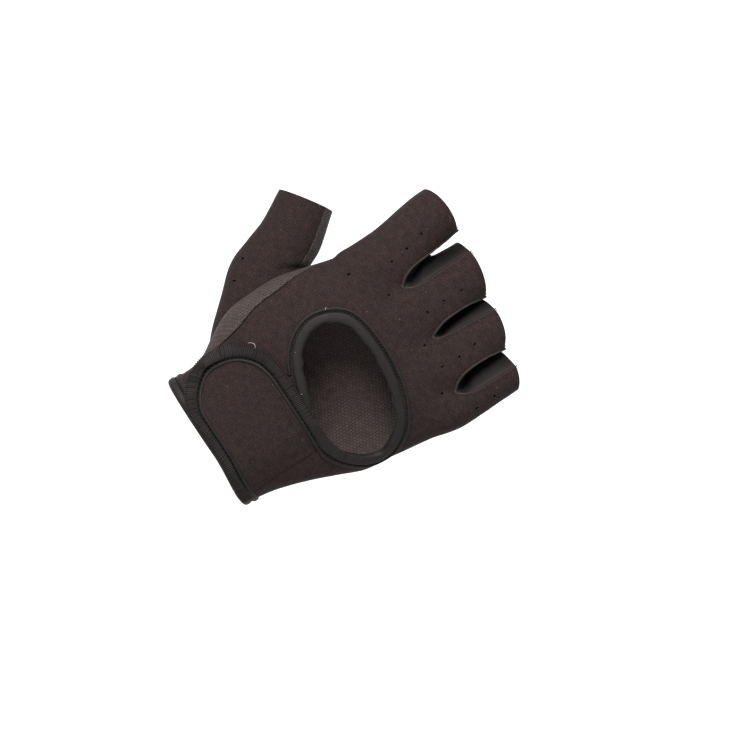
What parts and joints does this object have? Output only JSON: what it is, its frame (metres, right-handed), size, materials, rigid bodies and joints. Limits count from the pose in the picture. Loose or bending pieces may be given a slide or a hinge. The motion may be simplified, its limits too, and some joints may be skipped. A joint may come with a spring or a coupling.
{
  "type": "fitness glove",
  "caption": "Half-finger fitness glove for the right hand in its worn shape, with an oval window in the back, vented finger backs and a wide rounded wrist strap.",
  "frame": {"origin": "centre of the wrist opening, where the wrist goes in, in the plane of the hem", "axes": "+Y along the hand to the fingertips, +Z out of the back of the hand, +X to the little finger, with the thumb at -X"},
  "size_m": [0.1431, 0.159, 0.0479],
  "materials": {
    "knit_neoprene": "dark charcoal knit-faced neoprene, fine ribbed twill face, soft and matte",
    "grip_cloth": "charcoal cloth with a small raised grid, matte",
    "stretch_cloth": "near-black smooth stretch knit with a soft sheen",
    "binding_cloth": "black ribbed stretch binding, matte"
  },
  "bodies": {
    "root": {"back_panel": "knit_neoprene", "palm_panel": "grip_cloth", "fourchette_index_middle": "stretch_cloth", "fourchette_middle_ring": "stretch_cloth", "fourchette_ring_little": "stretch_cloth", "thumb_back": "knit_neoprene", "thumb_palm": "grip_cloth", "window_binding": "binding_cloth", "window_piping": "binding_cloth", "strap": "knit_neoprene", "strap_binding": "binding_cloth", "strap_piping": "binding_cloth", "wrist_hem": "binding_cloth"}
  },
  "joints": []
}
